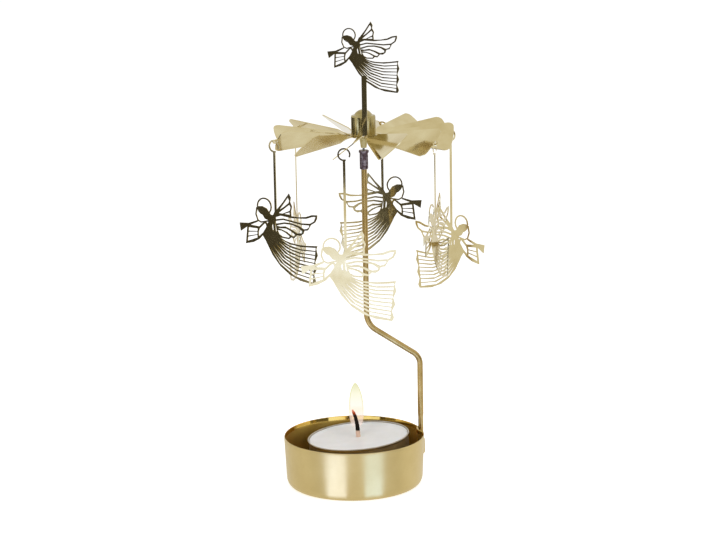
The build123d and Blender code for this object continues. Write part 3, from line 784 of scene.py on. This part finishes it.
def strap_points(crown_mm, low_mm, high_mm):
    """Strap: a rounded slab of sheet carried along the arc through both wall ends and its crown.

    Its section is half the sheet times sin^k a outward and half its height times cos^k a up, with
    both powers keeping their signs, and k small, so it is nearly square.
    """
    rows, columns, square = 33, 40, 0.35
    middle_mm = (low_mm + high_mm) / 2
    end = np.sqrt(wall_middle(middle_mm) ** 2 - strap_end_mm**2)
    rise = crown_mm - end
    bend = (strap_end_mm**2 + rise**2) / (2 * abs(rise))
    y = np.linspace(-strap_end_mm, strap_end_mm, rows)
    x = crown_mm - np.sign(rise) * (bend - np.sqrt(bend**2 - y**2))
    angle = full_turn(columns)
    out = cup_sheet_mm / 2 * np.sign(np.sin(angle)) * np.abs(np.sin(angle)) ** square
    up = (high_mm - low_mm) / 2 * np.sign(np.cos(angle)) * np.abs(np.cos(angle)) ** square
    line = np.stack([x, y, np.full_like(x, middle_mm)], axis=1)
    section = np.stack([out, np.zeros_like(out), up], axis=1)
    caps = [np.broadcast_to(line[end_row], (1, columns, 3)) for end_row in (0, -1)]
    return MM * np.concatenate([caps[0], line[:, None] + section, caps[1]])


for name, crown_mm, low_mm, high_mm in (
    ("strap_outer", foot_middle_mm + strap_crown_mm, 9.9, 14.875),
    ("strap_inner", foot_middle_mm - strap_crown_mm, 15.125, 18.45),
):
    grid_piece(name, strap_points(crown_mm, low_mm, high_mm), gold_satin, "base")


def stage_plane(name, corners, material):
    """A flat studio piece from four corners in metres."""
    mesh = bpy.data.meshes.new(name)
    mesh.from_pydata(corners, [], [(0, 1, 2, 3)])
    mesh.materials.append(material)
    mesh.update()
    piece = bpy.data.objects.new(name, mesh)
    bpy.context.scene.collection.objects.link(piece)
    return piece


def floor_material(mirror_level):
    """White floor: a pale matt board that takes soft shadows, with a glow for the lens.

    The metal sees it as an even white of mirror_level.
    """
    lens_glow = 0.62
    material, tree = new_material("studio_floor_white")
    path = add_node(tree, "ShaderNodeLightPath")
    glow = add_node(
        tree,
        "ShaderNodeMath",
        {0: path.outputs["Is Camera Ray"]},
        {1: lens_glow},
        operation="MULTIPLY",
    )
    values = {
        "Base Color": linear("EBEBEB"),
        "Roughness": 0.9,
        "Emission Color": linear("FFFFFF"),
        "Specular IOR Level": 0.0,
    }
    board = principled(tree, {"Emission Strength": glow.outputs["Value"]}, values)
    values = {"Color": linear("FFFFFF"), "Strength": mirror_level}
    mirrored = add_node(tree, "ShaderNodeEmission", None, values).outputs["Emission"]
    surface = blend_shaders(tree, path.outputs["Is Glossy Ray"], board, mirrored)
    return finished(material, surface)


def card_material(name, colour):
    """A studio card of one even tone, linear red, green and blue, seen only in the metal."""
    material, tree = new_material(name)
    values = {"Color": (*colour, 1.0), "Strength": 1.0}
    glow = add_node(tree, "ShaderNodeEmission", None, values)
    return finished(material, glow.outputs["Emission"])


def around_lens(angle_deg):
    """An angle about the upright axis, from one in degrees off the lens, positive to its right."""
    return camera_azimuth - pi / 2 + radians(angle_deg)


def card(name, corners, material):
    """A card that only the metal sees, from corners given as (angle off the lens, radius, z)."""
    places = [
        (radius * cos(around_lens(angle)), radius * sin(around_lens(angle)), height)
        for angle, radius, height in corners
    ]
    piece = stage_plane(name, places, material)
    piece.visible_camera = False
    piece.visible_diffuse = False
    piece.visible_transmission = False
    piece.visible_shadow = False
    piece.visible_volume_scatter = False
    return piece


def upright_card(name, start, end, radius, low, high, material):
    """A standing card between two angles, at a radius in metres."""
    corners = [(start, radius, low), (end, radius, low), (end, radius, high), (start, radius, high)]
    return card(name, corners, material)


def floor_card(name, near_deg, far_deg, near, far, material):
    """A card on the floor, from one span of angles at a near radius to another at a far one."""
    lie = 0.0005
    corners = [
        (near_deg[0], near, lie),
        (near_deg[1], near, lie),
        (far_deg[1], far, lie),
        (far_deg[0], far, lie),
    ]
    return card(name, corners, material)


# How bright the white studio looks in the metal, against 1 for the white that the lens sees
mirror_level = 0.93
floor_half = 3.0
corner_signs = ((-1, -1), (1, -1), (1, 1), (-1, 1))
stage_plane(
    "studio_floor",
    [(x * floor_half, y * floor_half, 0) for x, y in corner_signs],
    floor_material(mirror_level),
)

# The bright cards' tones lean to blue, so that gold shows them as white
dark = card_material("studio_card_dark", (0.075, 0.07, 0.058))
bright = card_material("studio_card_bright", (2.0, 2.4, 4.3))
fainter = card_material("studio_card_fainter", (1.4, 1.9, 3.4))
soft = card_material("studio_card_soft", (1.2, 1.4, 2.2))
hub_light = card_material("studio_card_hub", (1.5, 1.75, 2.6))
cream = card_material("studio_card_cream", (1.32, 1.46, 2.0))

# The two highlights down the cup's wall, which mirrors the floor
floor_card("card_floor_left", (-25.5, -7.6), (-45.4, -13.5), 0.027, 0.11, bright)
floor_card("card_floor_right", (8.7, 25), (15.4, 44.6), 0.027, 0.11, fainter)
# The white spots on the cup's inner lip, the bands on the hub, and the pale angel at the front
upright_card("card_lip_left", -47, -14, 0.16, 0.02, 0.05, soft)
upright_card("card_lip_right", 16, 46, 0.16, 0.02, 0.05, soft)
upright_card("card_hub_left", -64, -44, 0.16, 0.104, 0.124, hub_light)
upright_card("card_hub_right", 40, 58, 0.16, 0.104, 0.124, hub_light)
upright_card("card_cream_front", -14, 14, 0.28, 0.0, 0.06, cream)
# The dark angels, strips, top angel and hub
upright_card("card_dark_front", -24, 11, 0.29, 0.075, 0.125, dark)
upright_card("card_dark_finial", -56, -28, 0.40, 0.055, 0.19, dark)
upright_card("card_dark_left", -76, -46, 0.40, 0.0, 0.075, dark)
upright_card("card_dark_right", 44, 80, 0.40, 0.0, 0.10, dark)
upright_card("card_dark_behind_left", -150, -88, 0.40, 0.05, 0.12, dark)


def lamp(name, azimuth_deg, elevation_deg, distance, size, watts):
    """A soft square lamp turned to the carousel's middle, placed by angles off the lens."""
    data = bpy.data.lights.new(name, "AREA")
    data.shape = "SQUARE"
    data.size = size
    data.energy = watts
    middle = Vector((0, 0, 0.08))
    around, rise = around_lens(azimuth_deg), radians(elevation_deg)
    offset = Vector((cos(around) * cos(rise), sin(around) * cos(rise), sin(rise))) * distance
    piece = bpy.data.objects.new(name, data)
    bpy.context.scene.collection.objects.link(piece)
    piece.location = middle + offset
    piece.rotation_euler = offset.to_track_quat("Z", "Y").to_euler()
    piece.visible_glossy = False
    return piece


lamp("lamp_left", -25, 35, 0.90, 0.30, 1.7)
lamp("lamp_right", 30, 40, 0.90, 0.30, 1.7)
lamp("lamp_top", 0, 88, 0.80, 0.40, 1.2)

# World: white to the lens, a little less in the metal, and dimmer as light, so shadows stay
world_light = 0.5
world = bpy.data.worlds.new("studio_world")
bpy.context.scene.world = world
world.use_nodes = True
sky_tree = world.node_tree
sky_tree.nodes.clear()
path = add_node(sky_tree, "ShaderNodeLightPath")
to_lens = add_node(
    sky_tree,
    "ShaderNodeMath",
    {0: path.outputs["Is Camera Ray"], 1: path.outputs["Is Transmission Ray"]},
    operation="MAXIMUM",
)
plain = spread(sky_tree, to_lens.outputs["Value"], 0.0, 1.0, world_light, 1.0)
strength = add_node(
    sky_tree,
    "ShaderNodeMapRange",
    {"Value": path.outputs["Is Glossy Ray"], "To Min": plain},
    {"From Min": 0.0, "From Max": 1.0, "To Max": mirror_level},
)
sky = add_node(
    sky_tree,
    "ShaderNodeBackground",
    {"Strength": strength.outputs["Result"]},
    {"Color": (1.0, 1.0, 1.0, 1.0)},
)
add_node(sky_tree, "ShaderNodeOutputWorld", {"Surface": sky.outputs["Background"]})

# Camera: aimed as the photograph was taken, from the object's left and above, and rolled a little
lens_right = Vector((cos(camera_azimuth), sin(camera_azimuth), 0))
away = Vector((-sin(camera_azimuth), cos(camera_azimuth), 0))
forward = away * cos(camera_pitch) - Vector((0, 0, 1)) * sin(camera_pitch)
lens_up = away * sin(camera_pitch) + Vector((0, 0, 1)) * cos(camera_pitch)
right = cos(camera_roll) * lens_right - sin(camera_roll) * lens_up
up = sin(camera_roll) * lens_right + cos(camera_roll) * lens_up
camera_data = bpy.data.cameras.new("photo_camera")
camera_data.sensor_fit = "HORIZONTAL"
camera_data.sensor_width = sensor_width_mm
camera_data.lens = focal_pixels / image_width * sensor_width_mm
camera_data.shift_x = centre_shift_pixels / image_width
camera_data.clip_start = 0.05
camera_data.clip_end = 20
camera = bpy.data.objects.new("photo_camera", camera_data)
bpy.context.scene.collection.objects.link(camera)
camera.matrix_world = Matrix(
    (
        (right.x, up.x, -forward.x, -away.x * camera_distance),
        (right.y, up.y, -forward.y, -away.y * camera_distance),
        (right.z, up.z, -forward.z, camera_height),
        (0, 0, 0, 1),
    )
)
bpy.context.scene.camera = camera
bpy.context.scene.view_settings.view_transform = "Standard"
